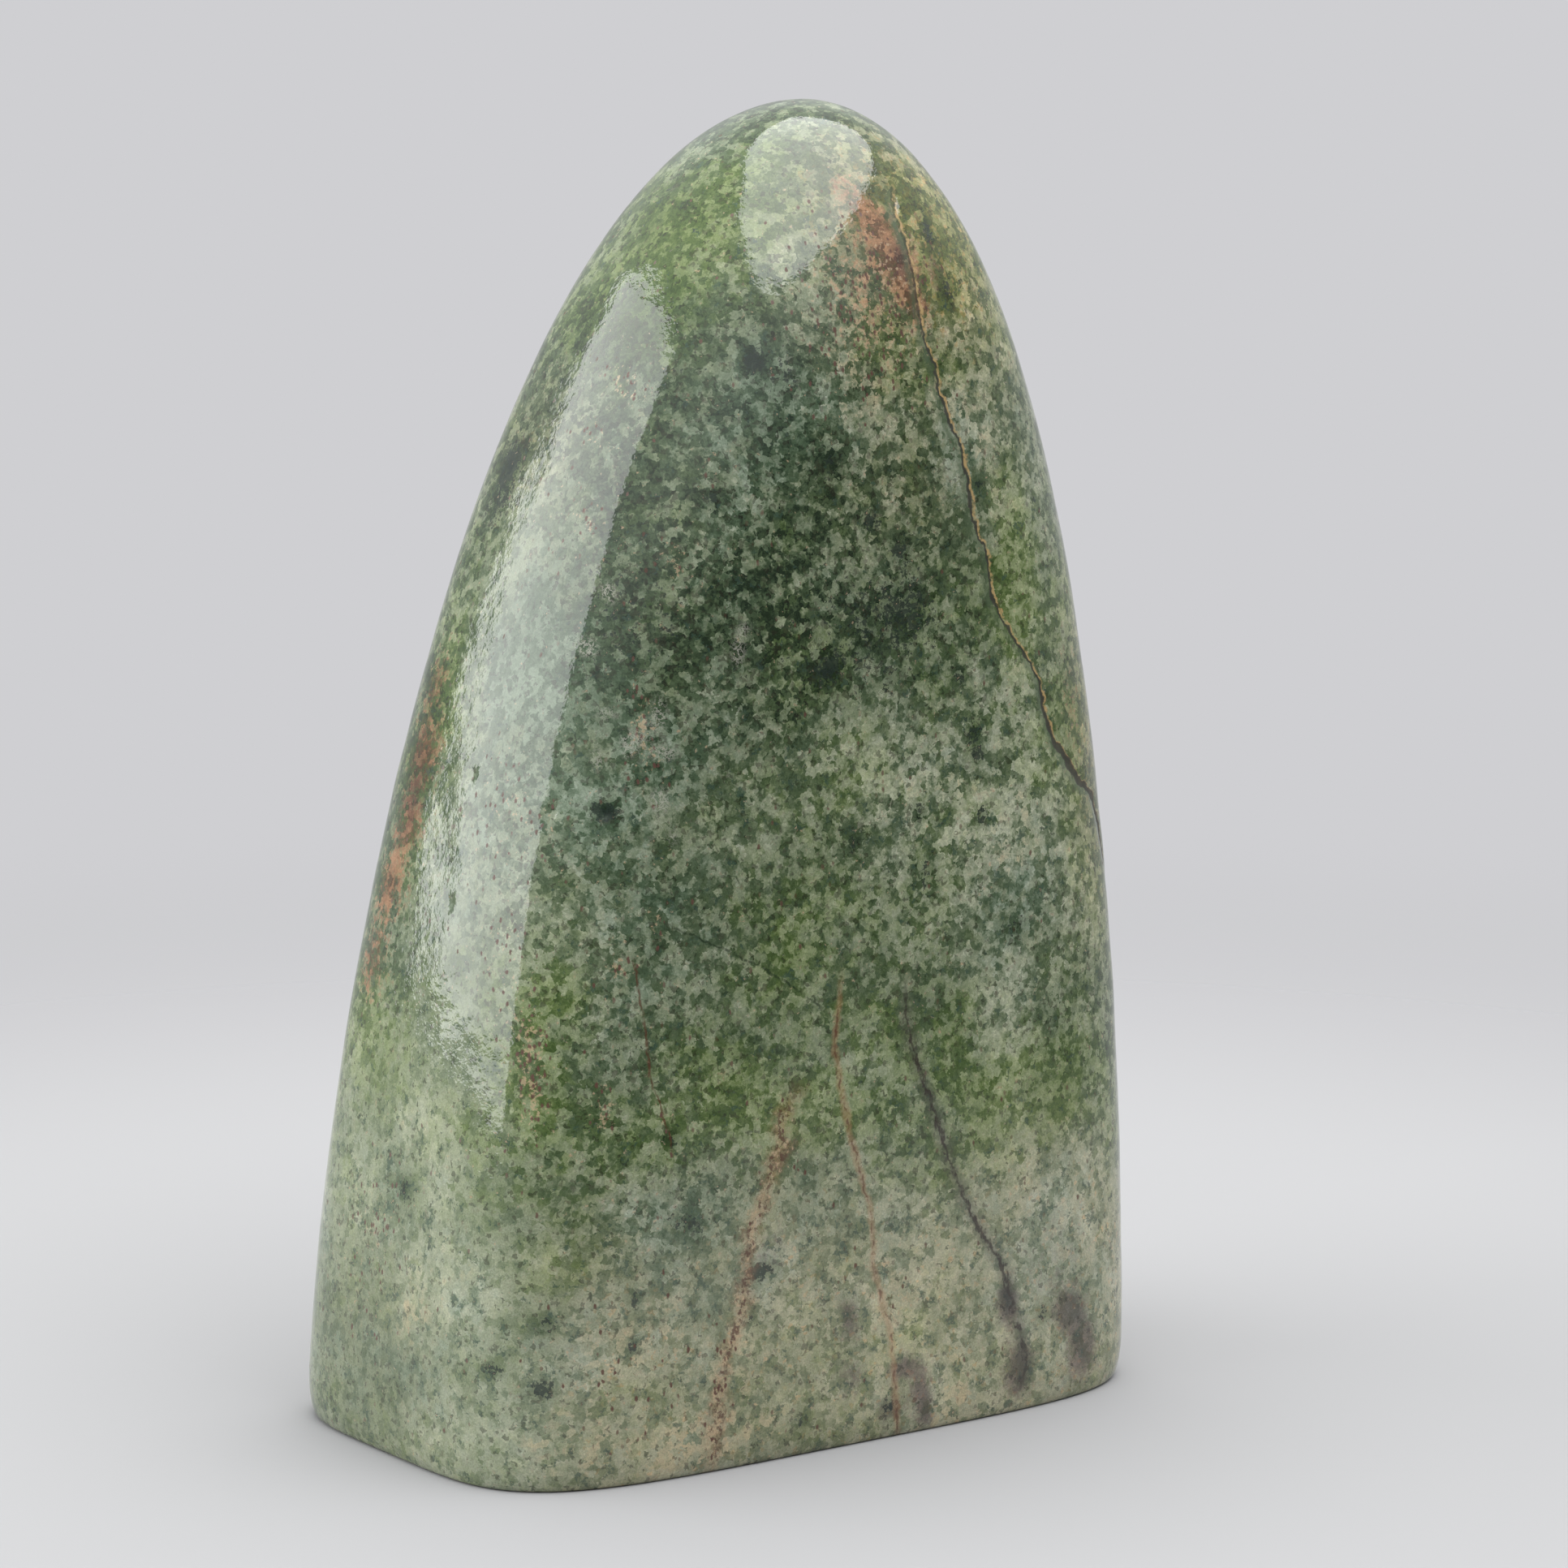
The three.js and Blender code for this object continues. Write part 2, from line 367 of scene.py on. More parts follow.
            ((4, -18, 96), (14, 8, 14), -0.3), ((10, -20, 58), (10, 8, 8), -0.4),
            ((0, -21.5, 37), (13, 8, 7), 0.25), ((20, -21, 31), (8, 8, 8), 0.2),
            ((31, 8, 52), (9, 14, 24), 0.5), ((6, 20, 88), (12, 8, 16), 0.6),
            ((-24, 18, 48), (8, 8, 16), 0.5), ((-14, -6, 102), (6, 8, 8), 0.8),
            ((-8, -4, 110), (6, 9, 7), 0.5), ((1, -8, 114), (6, 8, 6), 0.6),
        ),
        "warm": (
            ((9, -13, 112), (8, 8, 8), 1.2), ((15, -11, 106), (7, 10, 8), 1.05),
            ((21, -9, 95), (5, 10, 8), 0.3), ((31, -14, 60), (4, 8, 16), 0.8),
            ((8, -18, 88), (8, 8, 8), 0.3), ((4, -18, 101), (6, 8, 5), 0.3),
            ((-20, 20, 100), (8, 8, 8), 0.5), ((-20, 1, 94), (4, 8, 10), 0.5),
            ((-38, 2, 10), (6, 14, 10), 0.22), ((-8, -3, 111), (7, 9, 6), 0.12),
        ),
        "mauve": (
            ((9, -16.2, 107.8), (1.1, 4, 1.8), 1.2), ((17.2, -22.3, 10.8), (1.2, 5, 2), 1.7),
            ((18.4, -22.4, 4.2), (1.8, 5, 2.8), 1.4), ((26.8, -21.6, 4.6), (2.2, 6, 3), 1.5),
            ((25, -21.8, 8.6), (1.8, 6, 1.8), 1.1), ((4.8, -22.6, 6.6), (1.8, 5, 1.3), 1.3),
            ((6.8, -22.7, 4.4), (1.2, 5, 2), 1.2), ((7.4, -22.7, 1.8), (1, 5, 1.6), 1.2),
            ((3.4, -22.7, 3), (1.6, 5, 1.2), 1.0), ((-1, -22.6, 6.4), (1.6, 5, 2), 0.7),
            ((-1.3, -22.5, 12), (1.4, 5, 2.4), 1.0), ((13, -17, 107), (1.2, 4, 4), 0.7),
            ((-10, -22, 19.4), (2, 5, 2), 0.6), ((24, -22, 12), (4, 6, 5), 0.4),
            ((-29.8, 6, 60), (1.6, 3, 6), 0.8),
        ),
        "scuffs": (
            ((-18.8, -18, 69), (0.9, 4, 2), 0.7), ((-20.6, -17.4, 67), (1.3, 4, 1.2), 0.5),
            ((-21.8, -17.2, 66), (0.8, 4, 1.4), 0.6), ((-18.6, -18.4, 65.4), (1.8, 4, 0.9), 0.7),
            ((-19.4, -18.6, 61.2), (1.2, 4, 1.6), 0.8), ((-18.4, -18.6, 58), (0.9, 4, 1.2), 0.6),
            ((-11.3, -19.3, 73.8), (0.9, 4, 1.4), 0.8), ((-10.6, -19.3, 76), (1.1, 4, 1), 0.6),
            ((-24, -16, 65), (0.8, 4, 1.6), 0.6), ((-23.2, -13.3, 74.6), (0.8, 3, 1), 0.9),
            ((-21.2, -14, 79.4), (0.6, 3, 1.2), 0.9), ((-23, -16, 69), (1.4, 4, 0.9), 0.6),
            ((14, 19, 66), (2, 6, 1.4), 0.8), ((-20, 18, 34), (1.6, 6, 2), 0.8),
        ),
    },
    # the lighter rock near the foot. It begins at one height and is full at the other, in mm
    "paleFoot": {
        "begins": 34,
        "full": 15,
        "strength": 0.9,
        "calm": 0.7,
        "warm": 0.45,
        "warmAcross": (-36, -26),            # from the left face, where it is cooler, to the front
        "behind": (-12, 8),                  # from the front to the back, where it wanders more
        "fadeBehind": 0.4,
        # the waves in its upper edge: height in mm, how fast they turn along x and y, and their start
        "waves": ((1.6, 0.21, 0, 0), (1.2, 0, 0.33, 1)),
        "wavesBehind": ((7, 0.09, 0, 0.8), (3, 0.25, 0.12, 0)),
    },
}


def patchField(points, patches):         # each patch fades out softly past its reach
    field = np.zeros(len(points))
    for centre, reach, strength in patches:
        apart = (points - np.array(centre)) / np.array(reach)
        field += strength * np.exp(-(apart ** 2).sum(axis=1))
    return field


def smoothRise(value, low, high):
    share = np.clip((value - low) / (high - low), 0, 1)
    return share * share * (3 - 2 * share)


# how far each point lies from the seam's sheet, with a sign for its side, and how strong the seam is there
def seamField(points, seam):
    x, y, z = points.T
    routeX, routeZ = np.array(sorted(seam["route"], key=lambda point: point[1])).T
    middle = np.interp(z, routeZ, routeX)
    lean = np.interp(z, (routeZ[1:] + routeZ[:-1]) / 2, np.diff(routeX) / np.diff(routeZ))
    lean = np.clip(lean, -stoneMarks["steepest"], stoneMarks["steepest"])
    across = (x - middle + seam["slant"] * (y - stoneMarks["front"])) / np.sqrt(1 + lean ** 2)
    strength = smoothRise(z, seam["bottom"], seam["bottom"] + seam["fade"])
    strength *= 1 - smoothRise(z, seam["top"] - seam["fade"], seam["top"])
    if not seam["reachesBack"]:
        strength *= 1 - smoothRise(y, *stoneMarks["sheetEnds"])
    return across, strength


def keepField(stone, name, first, second=0, third=0):       # up to three values at each vertex
    values = np.stack(np.broadcast_arrays(first, second, third), axis=1)
    attribute = stone.data.attributes.new(name, "FLOAT_VECTOR", "POINT")
    attribute.data.foreach_set("vector", values.astype(np.float32).ravel())


def waves(points, parts):                # how high the edge stands or dips at each point
    x, y = points.T[:2]
    return sum(height * np.sin(alongX * x + alongY * y + start) for height, alongX, alongY, start in parts)


def spreadFoot(points, patch):           # adds the lighter rock near the foot to the patches
    foot = stoneMarks["paleFoot"]
    x, y, z = points.T
    behind = smoothRise(y, *foot["behind"])
    edge = z + waves(points, foot["waves"]) + behind * waves(points, foot["wavesBehind"])
    share = (1 - smoothRise(edge, foot["full"], foot["begins"])) * (1 - foot["fadeBehind"] * behind)
    patch["pale"] += foot["strength"] * share
    patch["calm"] += foot["calm"] * share
    patch["warm"] += foot["warm"] * share * smoothRise(x, *foot["warmAcross"])


def markStone(stone):
    points = stonePoints(stone)
    patch = {name: patchField(points, patches) for name, patches in stoneMarks["patches"].items()}
    spreadFoot(points, patch)
    keepField(stone, "stoneTone", patch["pale"], patch["dark"], patch["moss"] - patch["blue"])
    keepField(stone, "stoneStain", patch["rust"], patch["sand"], patch["flecks"])
    keepField(stone, "stoneShade", patch["calm"], patch["mauve"], patch["warm"])
    keepField(stone, "stoneWear", patch["scuffs"])
    for name, seam in stoneMarks["seams"].items():
        across, strength = seamField(points, seam)
        keepField(stone, name, across, strength, points[:, 2])


stoneRelief = {
    "waveSize": 9 * mm,          # the slight unevenness that the wheel left
    "waveDepth": 0.16 * mm,
    "waveRise": (0.5, 6),        # from none to all of it, in mm above the foot
    "grooveDepth": 0.16 * mm,    # along the crack
    "grooveReach": 0.5,
    "chipDepth": 0.16 * mm,
    "chipFloor": 0.2,            # the share of a chip's reach that is flat
    # centre and reach of each small chip in mm
    "chips": (
        ((-20.8, -9.6, 85.8), 0.9), ((-15.4, -8, 98.5), 0.7), ((-15.9, -8.9, 96.7), 0.8),
        ((-18.5, -7.3, 92.8), 0.6), ((-29.3, -3.2, 62.5), 0.8), ((-32, -3.2, 51), 0.7),
        ((-27.6, -13.6, 60.3), 0.9), ((-31.4, -12.5, 47.4), 0.6), ((-31.8, -15.4, 39.5), 0.8),
        ((-32, -16, 34.1), 0.7), ((-19.7, -17.4, 69), 1.1), ((-24, -17, 60.4), 0.8),
    ),
}


def pressIn(stone, name, weights, depth, texture=None):      # the surface goes in where the weights say
    leastWeight = 0.002
    group = stone.vertex_groups.new(name=name)
    for index in np.nonzero(weights > leastWeight)[0]:
        group.add([int(index)], float(weights[index]), "REPLACE")
    press = stone.modifiers.new(name, "DISPLACE")
    press.vertex_group = name
    press.direction = "NORMAL"
    press.texture = texture
    press.strength = depth if texture else -depth
    press.mid_level = 1 if texture else 0
    bpy.ops.object.modifier_apply(modifier=name)


def stonePoints(stone):
    flat = np.empty(len(stone.data.vertices) * 3)
    stone.data.vertices.foreach_get("co", flat)
    return flat.reshape(-1, 3) / mm


def wearStone(stone):
    relief = stoneRelief
    points = stonePoints(stone)
    hand = bpy.data.textures.new("handGround", "CLOUDS")
    hand.noise_scale = relief["waveSize"]
    hand.noise_depth = 1
    pressIn(stone, "handGround", smoothRise(points[:, 2], *relief["waveRise"]), relief["waveDepth"], hand)
    across, strength = seamField(points, stoneMarks["seams"]["crack"])
    groove = strength * np.exp(-(across / relief["grooveReach"]) ** 2)
    pressIn(stone, "crackGroove", groove, relief["grooveDepth"])
    chipped = np.zeros(len(points))
    for centre, reach in relief["chips"]:
        apart = np.linalg.norm(points - np.array(centre), axis=1)
        chipped = np.maximum(chipped, 1 - smoothRise(apart, relief["chipFloor"] * reach, reach))
    pressIn(stone, "chips", chipped, relief["chipDepth"])
    bpy.ops.object.shade_smooth()


stone = raiseStone()
wearStone(stone)
markStone(stone)
print("stone: raised,", len(stone.data.polygons), "faces")


serpentine = {
    "colours": {
        "deepGreen": (29, 42, 27),           # the rock from its darkest to its lightest
        "green": (66, 81, 57),
        "sage": (112, 122, 98),
        "paleSage": (166, 170, 148),
        "sand": (170, 155, 122),
        "rustShade": (88, 54, 36),
        "rustGrain": (154, 112, 82),
        "pit": (76, 44, 32),
        "crumb": (172, 150, 120),
        "chlorite": (31, 42, 36),            # the blackish spots
        "umber": (36, 34, 25),               # the darkest small grains
        "mauveGrey": (74, 69, 66),
        "veinBrown": (44, 37, 33),
        "seaGreen": (50, 70, 60),            # small spots in the pale rock
        "brokenLip": (168, 142, 98),
        "rubbed": (160, 158, 146),           # whitish where the polish is scuffed
    },
    # what each tinge does to the red, green and blue of the rock
    "tinges": {
        "moss": (0.96, 1.05, 0.57),
        "mint": (0.92, 1.0, 1.10),
        "warm": (1.27, 1.02, 0.90),
        "brown": (1.24, 0.97, 0.86),
        "mauve": (0.42, 0.36, 0.42),
    },
    # how many of each go to a millimetre
    "cells": {"grain": 1.2, "smallGrain": 2.7, "crumb": 2.6},
    # the same for each noise, then its detail and its roughness
    "noises": {
        "wide": (0.12, 2, 0.5),
        "bend": (0.25, 2, 0.5),
        "soft": (0.5, 2, 0.5),
        "swell": (0.62, 2, 0.5),
        "wander": (0.7, 3, 0.6),
        "ripple": (0.8, 3, 0.6),
        "lace": (1.6, 3, 0.75),
        "grit": (2.0, 3, 0.65),
        "dashes": (2.0, 2, 0.6),
        "mottle": (6, 2, 0.7),
    },
    "raggedness": (2.4, 0.75),               # of the grains' edges: turns to a millimetre, and reach in mm
    "dashStretch": (1, 1, 0.4),
    "crumbStretch": (1, 1, 0.6),
    "polish": (0.02, 0.055),                 # the roughness where it is best and where it is poorest
    "brokenGrain": 0.45,                     # and in pits, in scuffs and in the crack
    "unevenness": 0.03,                      # of the polish, in mm
    "opticalDensity": 1.57,
}


def rockTint(name):
    return plainColour(*serpentine["colours"][name])


def lay(tree, colour, share, name, most=1.0):         # one of the colours goes over the rock
    return blend(tree, sums(tree, "MULTIPLY", share, most), colour, rockTint(name))


def tinge(tree, colour, share, name):
    shade = blend(tree, share, (1, 1, 1, 1), (*serpentine["tinges"][name], 1))
    return blend(tree, 1, colour, shade, "MULTIPLY")


def field(tree, name):                                # what was kept at the vertices under this name
    return threeParts(tree, addNode(tree, "Attribute", attribute_name=name).outputs["Vector"])


def noise(tree, where, name, output="Fac"):
    return clouds(tree, where, *serpentine["noises"][name], output)


def cells(tree, where, name):                         # each cell's three numbers, and how far its middle is
    cell = addNode(tree, "TexVoronoi", {"Vector": where, "Scale": serpentine["cells"][name]}, feature="F1")
    return (*threeParts(tree, cell.outputs["Color"]), cell.outputs["Distance"])


def centred(tree, value):
    return sums(tree, "SUBTRACT", value, 0.5)


def weigh(tree, rock, base, **weights):               # the base and each named value times its weight
    for name, weight in weights.items():
        base = sums(tree, "MULTIPLY_ADD", rock[name], weight, base)
    return base


def readRock(tree):                                   # the values that the grains and the markings share
    place = addNode(tree, "TexCoord").outputs["Object"]
    place = addNode(tree, "Mapping", {"Vector": place, "Scale": (1 / mm, 1 / mm, 1 / mm)}).outputs[0]
    stretched = addNode(tree, "Mapping", {"Vector": place, "Scale": serpentine["dashStretch"]}).outputs[0]
    ragged = nudge(tree, place, *serpentine["raggedness"])
    rock = {"place": place, "grit": noise(tree, place, "grit"), "swell": noise(tree, ragged, "swell")}
    rock["wander"] = centred(tree, noise(tree, place, "wander"))
    rock["dashes"] = noise(tree, stretched, "dashes")
    rock["wide"], rock["wideHue"], rock["wideSand"] = threeParts(tree, noise(tree, place, "wide", "Color"))
    rock["soft"], rock["softHue"], rock["softSand"] = threeParts(tree, noise(tree, place, "soft", "Color"))
    rock["grain"], rock["grainHue"], rock["grainSand"] = cells(tree, ragged, "grain")[:3]
    rock["small"], rock["smallHue"], rock["smallDark"] = cells(tree, ragged, "smallGrain")[:3]
    rock["pale"], rock["dark"], rock["hue"] = field(tree, "stoneTone")
    rock["rust"], rock["sand"], rock["flecks"] = field(tree, "stoneStain")
    rock["calm"], rock["mauve"], rock["warm"] = field(tree, "stoneShade")
    return rock


def addTone(tree, rock):                              # how light the rock is at each spot
    flake = weigh(tree, rock, -0.9, swell=1, grain=0.3, wide=0.3, grit=0.2, pale=0.1, dark=-0.05)
    rock["flake"] = ease(tree, flake, -0.04, 0.08)
    grainy = weigh(tree, rock, -0.64, flake=0.24, grain=0.22, small=0.2, grit=0.35, swell=0.3)
    contrast = sums(tree, "MAXIMUM", weigh(tree, rock, 1, calm=-0.58), 0.42)
    rock["grainy"] = sums(tree, "MULTIPLY", grainy, contrast)
    rock["lightest"] = ease(tree, rock["grainy"], 0.0, 0.3)
    rock["tone"] = weigh(tree, rock, 0.185, grainy=1, wide=0.4, soft=0.2, pale=0.25, dark=-0.2,
                         lightest=-0.05)


def grainColour(tree, rock):
    tone = rock["tone"]
    colour = blend(tree, ease(tree, tone, 0.0, 0.34), rockTint("deepGreen"), rockTint("green"))
    colour = lay(tree, colour, ease(tree, tone, 0.26, 0.7), "sage")
    colour = lay(tree, colour, ease(tree, tone, 0.6, 1.05), "paleSage")
    warmth = weigh(tree, rock, -1.36, hue=0.9, wideHue=1.5, softHue=0.8, grainHue=0.35, smallHue=0.1)
    mossy = sums(tree, "MULTIPLY", ease(tree, warmth, -0.15, 0.85), ease(tree, tone, 0.35, 0.8, 1, 0.5))
    colour = tinge(tree, colour, mossy, "moss")
    colour = tinge(tree, colour, ease(tree, warmth, -0.7, 0.0, 1, 0), "mint")
    colour = tinge(tree, colour, rock["warm"], "warm")
    earthy = ease(tree, weigh(tree, rock, 0, smallHue=1, warm=0.2), 1.0, 1.1)
    colour = tinge(tree, colour, earthy, "brown")
    sandy = weigh(tree, rock, -1.36, sand=0.45, wideSand=0.6, softSand=0.4, grainSand=0.35, tone=0.7)
    colour = lay(tree, colour, ease(tree, sandy, 0.05, 0.5), "sand", most=0.7)
    pepper = ease(tree, weigh(tree, rock, 0, smallDark=1, dark=0.12, pale=-0.06), 0.89, 0.92)
    return lay(tree, colour, pepper, "umber", most=0.5)


def addStains(tree, rock, colour):                    # rust, mauve bruises, sea-green and blackish spots
    rusty = weigh(tree, rock, -1.8, grit=1.7, grain=0.4, swell=0.8, rust=1)
    lightness = ease(tree, rock["tone"], 0.3, 0.85)
    rustTint = blend(tree, lightness, rockTint("rustShade"), rockTint("rustGrain"))
    colour = blend(tree, ease(tree, rusty, 0.0, 0.7, 0, 0.85), colour, rustTint)
    bruise = weigh(tree, rock, -1.2, grit=1.2, swell=0.9, mauve=0.8)
    colour = tinge(tree, colour, ease(tree, bruise, -0.1, 0.8), "mauve")
    sea = ease(tree, weigh(tree, rock, 0, grit=0.8, small=-0.2, swell=-0.9, pale=0.06), 0.05, 0.12)
    colour = lay(tree, colour, sea, "seaGreen", most=0.6)
    spot = ease(tree, weigh(tree, rock, -2.95, grit=2.4, swell=1.2, small=0.5, dark=1), 0.0, 0.16)
    return lay(tree, colour, spot, "chlorite", most=0.85)


def addMottle(tree, rock, colour):                    # fine light and dark specks all over
    shade = ease(tree, noise(tree, rock["place"], "mottle"), 0.25, 0.75, 0.80, 1.2)
    shade = addNode(tree, "CombineColor", {0: shade, 1: shade, 2: shade}).outputs[0]
    return blend(tree, 1, colour, shade, "MULTIPLY")


# how each seam looks where it comes out, in mm: how far it wanders, and the distances from its middle
# between which its halo and its core fade
seamLooks = {
    "redVein": {"wander": 2.4, "bend": 3, "halo": (0.1, 1.8), "haloStrength": 0.4,
                "core": (0.2, 0.85), "coreStrength": 0.8},
    "tanVein": {"wander": 1.2, "halo": (0.1, 0.6), "haloStrength": 0.35,
                "core": (0.04, 0.22), "coreStrength": 0.7},
    "darkVein": {"wander": 1.6, "halo": (0.2, 1.4), "haloStrength": 0.4,
                 "core": (0.0, 0.22), "coreStrength": 0.85, "swelling": 0.35},
    "hairline": {"wander": 0.8, "core": (0.04, 0.18), "coreStrength": 0.75},
    "thread": {"wander": 0.8, "core": (0.04, 0.18), "coreStrength": 0.75},
    "crack": {
        "wander": 1.4,
        "shadedSideMiddle": -0.55,                         # painted shade: a darker green band left of the crack, the low side of its step
        "green": (0.1, 0.75),
        "shadedSideStrength": 0.6,
        "lipMiddle": 0.27,                            # the pale broken lip, right of it
        "lip": (0.06, 0.2),
        "lipStrength": 0.9,
        "narrowing": (58, 72),                        # the heights between which the dark cleft narrows
        "widths": (0.3, 0.1),                         # from its middle to its edge, below them and above
        "edge": 0.12,
        "closing": (98, 110),                         # the heights between which it closes up
        "closed": 0.4,                                # and the share of it that is left above them
        "coreStrength": 0.9,
    },
}


def seamAt(tree, rock, name):                         # how far off the seam is, and how strong it is
    across, strength = field(tree, name)[:2]
    return sums(tree, "MULTIPLY_ADD", rock["wander"], seamLooks[name]["wander"], across), strength


def band(tree, across, strength, inner, outer):       # 1 within the inner width, 0 past the outer
    near = ease(tree, sums(tree, "ABSOLUTE", across), inner, outer, 1, 0)
    return sums(tree, "MULTIPLY", near, strength)


def addRedVein(tree, rock, colour):
    look = seamLooks["redVein"]
    across, strength = seamAt(tree, rock, "redVein")
    bend = centred(tree, noise(tree, rock["place"], "bend"))
    across = sums(tree, "MULTIPLY_ADD", bend, look["bend"], across)
    halo = band(tree, across, strength, *look["halo"])
    rock["redVein"] = sums(tree, "MULTIPLY", halo, ease(tree, rock["grit"], 0.4, 0.6, 0.4, 1))
    colour = lay(tree, colour, rock["redVein"], "rustGrain", look["haloStrength"])
    core = band(tree, across, strength, *look["core"])
    core = sums(tree, "MULTIPLY", core, ease(tree, rock["grit"], 0.43, 0.49, 1, 0))
    return lay(tree, colour, core, "pit", look["coreStrength"])


def addCrumbs(tree, rock, colour):                    # sandy crumbs with small red-brown pits in them
    rock["density"] = weigh(tree, rock, 0.03, flecks=0.85, redVein=0.5)
    stretch = {"Vector": rock["place"], "Scale": serpentine["crumbStretch"]}
    speck = cells(tree, addNode(tree, "Mapping", stretch).outputs[0], "crumb")
    rock["speck"], rock["speckReach"] = speck[0], speck[3]
    crumb = ease(tree, weigh(tree, rock, 0, grit=1, density=0.15), 0.66, 0.74)
    colour = lay(tree, colour, crumb, "crumb", most=0.6)
    chosen = ease(tree, weigh(tree, rock, 0, speck=1, density=0.55), 0.99, 1.02)
    near = ease(tree, weigh(tree, rock, -0.4, speckReach=1, grit=0.8), 0.28, 0.5, 1, 0)
    rock["pit"] = sums(tree, "MULTIPLY", chosen, near)
    return lay(tree, colour, rock["pit"], "pit", most=0.9)


def addScuffs(tree, rock, colour):                    # a whitish lace where the polish is rubbed
    scuffs = field(tree, "stoneWear")[0]
    lace = sums(tree, "ABSOLUTE", centred(tree, noise(tree, rock["place"], "lace")))
    lace = ease(tree, lace, 0.0, 0.075, 1, 0)
    rock["rubbed"] = sums(tree, "MULTIPLY", lace, ease(tree, scuffs, 0.2, 0.75))
    return lay(tree, colour, rock["rubbed"], "rubbed", most=0.65)


def addTanVein(tree, rock, colour):
    look = seamLooks["tanVein"]
    across, strength = seamAt(tree, rock, "tanVein")
    halo = band(tree, across, strength, *look["halo"])
    colour = lay(tree, colour, halo, "rustGrain", look["haloStrength"])
    core = band(tree, across, strength, *look["core"])
    core = sums(tree, "MULTIPLY", core, ease(tree, rock["dashes"], 0.46, 0.6))
    return lay(tree, colour, core, "pit", look["coreStrength"])


def addDarkVein(tree, rock, colour):
    look = seamLooks["darkVein"]
    across, strength = seamAt(tree, rock, "darkVein")
    halo = band(tree, across, strength, *look["halo"])
    colour = lay(tree, colour, halo, "mauveGrey", look["haloStrength"])
    swelling = ease(tree, rock["dashes"], 0.42, 0.7)
    swollen = sums(tree, "MULTIPLY_ADD", swelling, -look["swelling"], sums(tree, "ABSOLUTE", across))
    core = band(tree, sums(tree, "MAXIMUM", swollen, 0), strength, *look["core"])
    core = sums(tree, "MULTIPLY", core, ease(tree, rock["wander"], -0.14, 0.02, 0.2, 1))
    return lay(tree, colour, core, "veinBrown", look["coreStrength"])


def addFineVeins(tree, rock, colour):
    for name, shade in (("hairline", "deepGreen"), ("thread", "pit")):
        look = seamLooks[name]
        across, strength = seamAt(tree, rock, name)
        core = band(tree, across, strength, *look["core"])
        core = sums(tree, "MULTIPLY", core, ease(tree, rock["dashes"], 0.38, 0.55, 0.3, 1))
        colour = lay(tree, colour, core, shade, look["coreStrength"])
    return colour


def addCrack(tree, rock, colour):                     # dark, with painted shade in green on its left and a pale lip
    look = seamLooks["crack"]
    across, strength = seamAt(tree, rock, "crack")
    height = field(tree, "crack")[2]
    # painted shade: the green band darkens the low side of the crack's step
    green = band(tree, sums(tree, "SUBTRACT", across, look["shadedSideMiddle"]), strength, *look["green"])
    colour = lay(tree, colour, green, "green", look["shadedSideStrength"])
    lip = band(tree, sums(tree, "SUBTRACT", across, look["lipMiddle"]), strength, *look["lip"])
    lip = sums(tree, "MULTIPLY", lip, ease(tree, rock["grit"], 0.38, 0.55, 0.2, 1))
    colour = lay(tree, colour, lip, "brokenLip", look["lipStrength"])
    width = ease(tree, height, *look["narrowing"], *look["widths"])
    beyond = sums(tree, "SUBTRACT", sums(tree, "ABSOLUTE", across), width)
    cleft = sums(tree, "MULTIPLY", ease(tree, beyond, 0.0, look["edge"], 1, 0), strength)
    rock["cleft"] = sums(tree, "MULTIPLY", cleft, ease(tree, height, *look["closing"], 1, look["closed"]))
    return lay(tree, colour, rock["cleft"], "umber", look["coreStrength"])


def rockGloss(tree, rock):
    gloss = ease(tree, rock["wide"], 0.3, 0.7, *serpentine["polish"])
    broken = sums(tree, "MAXIMUM", sums(tree, "MAXIMUM", rock["pit"], rock["cleft"]), rock["rubbed"])
    return addNode(tree, "Mix", {0: broken, 2: gloss, 3: serpentine["brokenGrain"]}).outputs[0]


def polishedSerpentine():
    material = bpy.data.materials.new("polishedSerpentine")
    material.use_nodes = True
    tree = material.node_tree
    shader = tree.nodes["Principled BSDF"]
    rock = readRock(tree)
    addTone(tree, rock)
    colour = grainColour(tree, rock)
    for addMarking in (addStains, addMottle, addRedVein, addCrumbs, addScuffs, addTanVein, addDarkVein,
                       addFineVeins, addCrack):
        colour = addMarking(tree, rock, colour)
    tree.links.new(colour, shader.inputs["Base Color"])
    gloss = rockGloss(tree, rock)
    tree.links.new(gloss, shader.inputs["Roughness"])
    ripple = noise(tree, rock["place"], "ripple")
    bump = {"Height": ripple, "Distance": serpentine["unevenness"] * mm, "Strength": 1}
    tree.links.new(addNode(tree, "Bump", bump).outputs[0], shader.inputs["Normal"])
    shader.inputs["IOR"].default_value = serpentine["opticalDensity"]
    return material


stone.data.materials.append(polishedSerpentine())
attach(stone, "root")
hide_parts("stone")
print("material: polished serpentine")


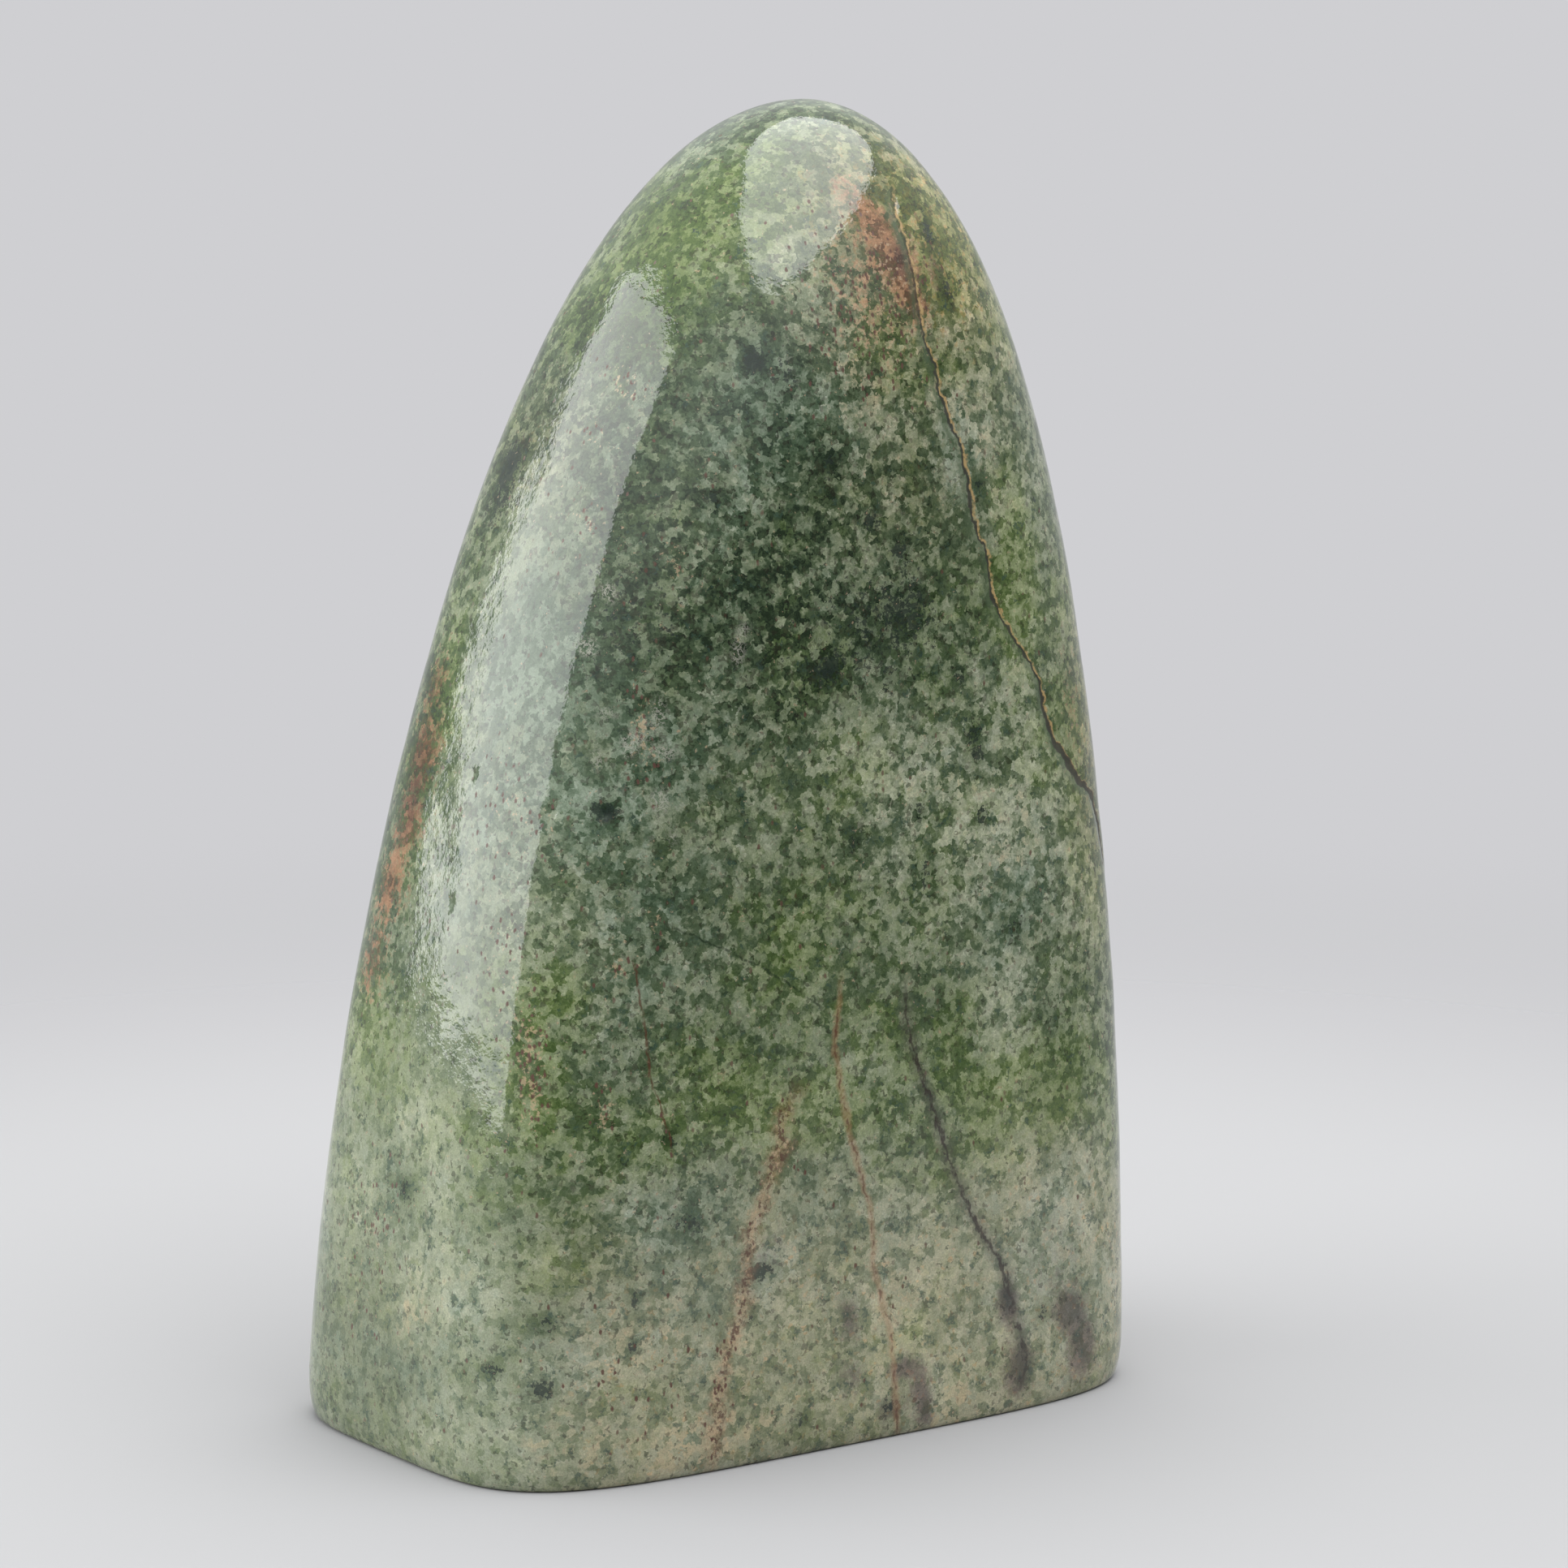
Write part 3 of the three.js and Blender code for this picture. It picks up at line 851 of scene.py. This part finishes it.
studio = {
    "floorShade": (146, 146, 147),
    "floorFarPaintedShade": (126, 126, 127),       # painted shade: the floor darkens away from the stone, where it fades, holding down the lamps' light out there
    "floorReach": 1.2,
    "floorSides": 96,
    "floorFade": (0.10, 0.33),         # where the floor fades into the backdrop
    "floorRoughness": 0.9,
    "floorShine": 0.1,
    "backdrop": (207, 207, 210),
    "roomTint": (0.98, 0.99, 1, 1),
    "roomAbove": 1.1,                  # what the polish mirrors overhead
    "roomBehind": 0.55,                # low down behind and beside the stone
    "roomDim": 0.12,                   # and low down in front of it
    "frontToBack": (-0.75, 0.15),      # where one passes into the other
    "lowToHigh": (0.12, 0.5),
    "sideBox": {"radiance": 3.5, "middle": (-1.189, 0.774, 0.613), "width": 1.83, "length": 1.22,
                "azimuth": -108.7, "tilt": 28.6, "roll": 3.6},
    "topBox": {"radiance": 3.9, "middle": (0.36, 0.0, 1.44), "width": 1.62, "length": 2.53,
               "turn": -17.6, "tilt": 20.4},
}


def paleFloor():
    material = bpy.data.materials.new("paleFloor")
    material.use_nodes = True
    tree = material.node_tree
    shader = tree.nodes["Principled BSDF"]
    shader.inputs["Roughness"].default_value = studio["floorRoughness"]
    shader.inputs["Specular IOR Level"].default_value = studio["floorShine"]
    place = addNode(tree, "TexCoord").outputs["Object"]
    reach = addNode(tree, "VectorMath", {0: place}, operation="LENGTH").outputs["Value"]
    gone = ease(tree, reach, *studio["floorFade"])
    # painted shade: the floor is darker with distance from the stone
    shade = blend(tree, gone, plainColour(*studio["floorShade"]), plainColour(*studio["floorFarPaintedShade"]))
    tree.links.new(shade, shader.inputs["Base Color"])
    clear = addNode(tree, "BsdfTransparent").outputs[0]
    both = addNode(tree, "MixShader", {0: gone, 1: shader.outputs[0], 2: clear}).outputs[0]
    tree.links.new(both, tree.nodes["Material Output"].inputs["Surface"])
    return material


def layFloor():
    bpy.ops.object.select_all(action="DESELECT")
    sides, reach = studio["floorSides"], studio["floorReach"]
    bpy.ops.mesh.primitive_circle_add(vertices=sides, radius=reach, fill_type="NGON")
    floor = bpy.context.object
    floor.name = "paleFloor"
    floor.data.materials.append(paleFloor())


def hangRoom():
    world = bpy.data.worlds.new("room")
    bpy.context.scene.world = world
    world.use_nodes = True
    tree = world.node_tree
    direction = threeParts(tree, addNode(tree, "TexCoord").outputs["Generated"])
    low = ease(tree, direction[1], *studio["frontToBack"], studio["roomDim"], studio["roomBehind"])
    above = ease(tree, direction[2], *studio["lowToHigh"])
    bright = addNode(tree, "Mix", {0: above, 2: low, 3: studio["roomAbove"]}).outputs[0]
    room = addNode(tree, "Background", {"Color": studio["roomTint"], "Strength": bright}).outputs[0]
    backdrop = plainColour(*studio["backdrop"])
    sheet = addNode(tree, "Background", {"Color": backdrop, "Strength": 1}).outputs[0]
    seen = addNode(tree, "LightPath").outputs["Is Camera Ray"]
    both = addNode(tree, "MixShader", {0: seen, 1: room, 2: sheet}).outputs[0]
    tree.links.new(both, tree.nodes["World Output"].inputs["Surface"])


def hangBox(name, softbox, aim, shape, area):
    box = bpy.data.objects.new(name, bpy.data.lights.new(name, "AREA"))
    bpy.context.collection.objects.link(box)
    box.data.shape = shape
    box.data.size = softbox["width"]
    box.data.size_y = softbox["length"]
    box.data.energy = softbox["radiance"] * pi * area
    box.location = softbox["middle"]
    box.rotation_euler = aim
    box.visible_camera = False


def hangLights():
    side, top = studio["sideBox"], studio["topBox"]
    turn = radians(side["azimuth"])
    aim = Vector((-sin(turn), cos(turn), 0)).to_track_quat("-Z", "Y")
    aim @= Quaternion((1, 0, 0), radians(-side["tilt"]))           # the top edge leans towards the stone
    aim @= Quaternion((0, 0, 1), radians(side["roll"]))
    hangBox("sideSoftbox", side, aim.to_euler(), "RECTANGLE", side["width"] * side["length"])
    aim = (radians(top["tilt"]), 0, radians(top["turn"]))          # the back edge is higher
    hangBox("topSoftbox", top, aim, "ELLIPSE", pi / 4 * top["width"] * top["length"])


layFloor()
hangRoom()
hangLights()
print("studio: floor, room and two softboxes")
